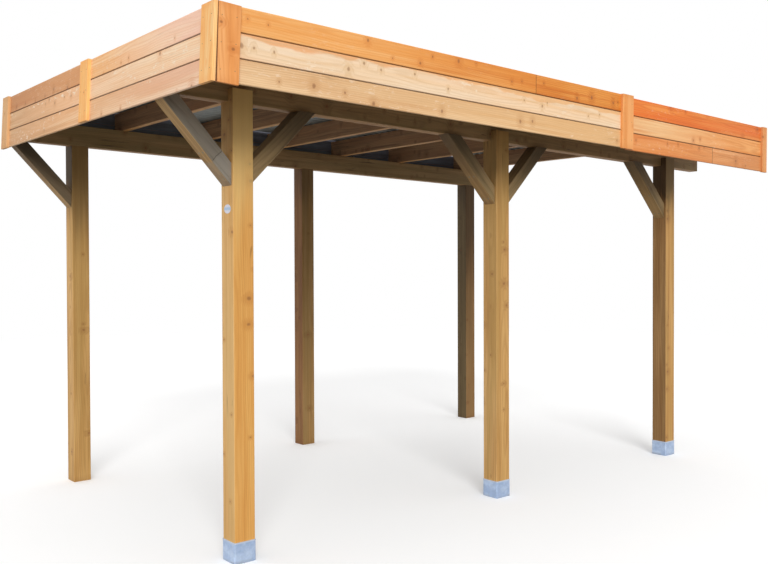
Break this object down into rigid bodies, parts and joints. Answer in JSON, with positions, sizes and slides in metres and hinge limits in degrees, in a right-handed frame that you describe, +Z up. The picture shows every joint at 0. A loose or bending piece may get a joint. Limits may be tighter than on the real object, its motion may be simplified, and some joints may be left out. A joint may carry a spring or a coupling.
{
  "type": "carport",
  "caption": "Open flat-roofed timber carport with square posts, knee braces, boarded fascia with corner boards and corrugated roof sheets",
  "frame": {"origin": "on the ground in the middle of the overall length and width", "axes": "+X towards the rear, +Y towards the far side, +Z up"},
  "size_m": [4.8334, 2.946, 2.6671],
  "materials": {
    "post_timber": "planed impregnated softwood, golden brown",
    "frame_timber": "planed impregnated softwood, dark olive brown",
    "fascia_timber": "planed rebated boards, pale peach tan",
    "trim_timber": "planed boards, honey orange",
    "galvanised_steel": "hot-dip galvanised, matt pale grey",
    "coated_sheet": "pale blue-grey coated sheet"
  },
  "bodies": {
    "root": {"far_batten_middle": "trim_timber", "far_batten_rear": "trim_timber", "far_beam": "frame_timber", "far_brace_front_forward": "post_timber", "far_corner_board_front": "trim_timber", "far_corner_board_side": "trim_timber", "far_fascia_front": "fascia_timber", "far_fascia_rear": "fascia_timber", "far_post_front": "post_timber", "far_post_middle": "post_timber", "far_post_rear": "post_timber", "front_batten_middle": "trim_timber", "front_fascia_far": "fascia_timber", "front_fascia_near": "fascia_timber", "near_batten_middle": "trim_timber", "near_batten_rear": "trim_timber", "near_beam": "frame_timber", "near_brace_front_back": "post_timber", "near_brace_front_forward": "post_timber", "near_brace_middle_back": "post_timber", "near_brace_middle_forward": "post_timber", "near_brace_rear_forward": "post_timber", "near_corner_board_front": "trim_timber", "near_corner_board_side": "trim_timber", "near_fascia_front": "fascia_timber", "near_fascia_rear": "fascia_timber", "near_post_front": "post_timber", "near_post_middle": "post_timber", "near_post_rear": "post_timber", "post_shoe_front": "galvanised_steel", "post_shoe_middle": "galvanised_steel", "post_shoe_rear": "galvanised_steel", "rafter_1": "frame_timber", "rafter_2": "frame_timber", "rafter_3": "frame_timber", "rafter_4": "frame_timber", "rafter_5": "frame_timber", "rafter_front": "frame_timber", "rafter_rear": "frame_timber", "rear_batten": "frame_timber", "roof_sheet_1": "coated_sheet", "roof_sheet_2": "coated_sheet", "roof_sheet_3": "coated_sheet", "roof_sheet_4": "coated_sheet"}
  },
  "joints": []
}
